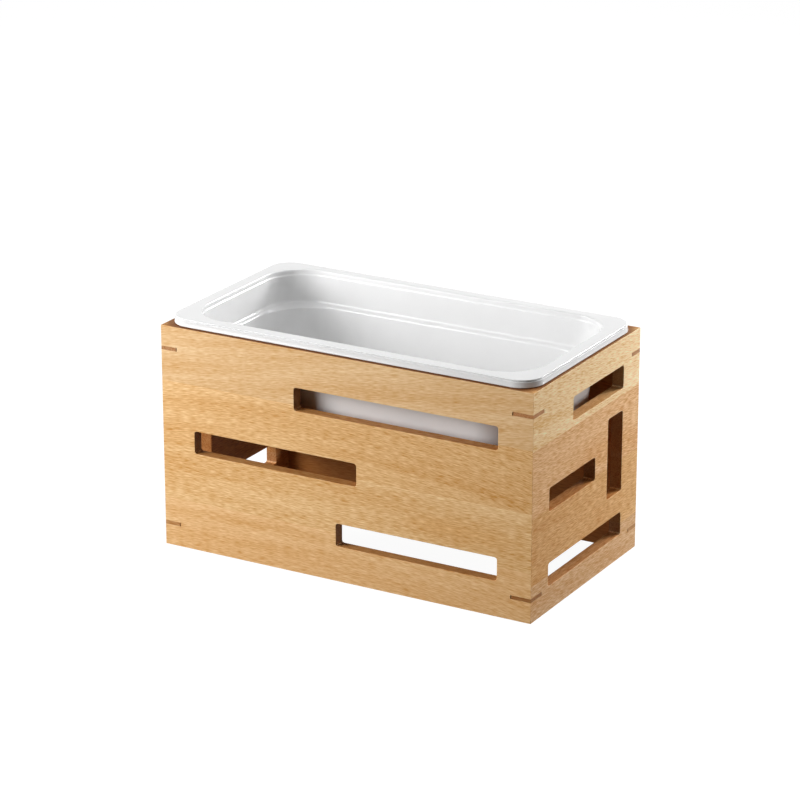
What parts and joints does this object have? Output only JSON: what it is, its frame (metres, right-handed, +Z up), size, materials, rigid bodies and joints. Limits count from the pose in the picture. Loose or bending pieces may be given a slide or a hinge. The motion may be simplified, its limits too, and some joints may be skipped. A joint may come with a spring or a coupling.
{
  "type": "buffet pan holder",
  "caption": "Beech buffet box, open above and below, with routed slots and keyed mitre corners; a glossy white food pan hangs in its top by the flange and lifts straight out.",
  "frame": {"origin": "on the table, under the middle of the box", "axes": "+X along the box to the right as seen from the front, +Y from the front wall to the back, +Z up"},
  "size_m": [0.3322, 0.182, 0.1928],
  "materials": {
    "beech_pale": "satin clear oil",
    "beech_golden": "satin clear oil",
    "beech_pink": "satin clear oil",
    "beech_tan": "satin clear oil",
    "key_hardwood": "satin clear oil",
    "pan_white": "gloss"
  },
  "bodies": {
    "box": {"front_stave_1": "beech_tan", "front_stave_2": "beech_tan", "front_stave_3": "beech_golden", "front_stave_4": "beech_pale", "right_stave_1": "beech_tan", "right_stave_2": "beech_tan", "right_stave_3": "beech_pink", "right_stave_4": "beech_pale", "back_stave_1": "beech_tan", "back_stave_2": "beech_tan", "back_stave_3": "beech_golden", "back_stave_4": "beech_pale", "left_stave_1": "beech_tan", "left_stave_2": "beech_tan", "left_stave_3": "beech_pink", "left_stave_4": "beech_pale", "front_right_lower_key": "key_hardwood", "front_right_upper_key": "key_hardwood", "back_right_lower_key": "key_hardwood", "back_right_upper_key": "key_hardwood", "back_left_lower_key": "key_hardwood", "back_left_upper_key": "key_hardwood", "front_left_lower_key": "key_hardwood", "front_left_upper_key": "key_hardwood"},
    "pan": {"food_pan": "pan_white"}
  },
  "joints": [
    {"name": "pan_lift", "type": "slide", "parent": "box", "child": "pan", "axis": [0, 0, 1], "range_m": [0, 0.14]}
  ]
}
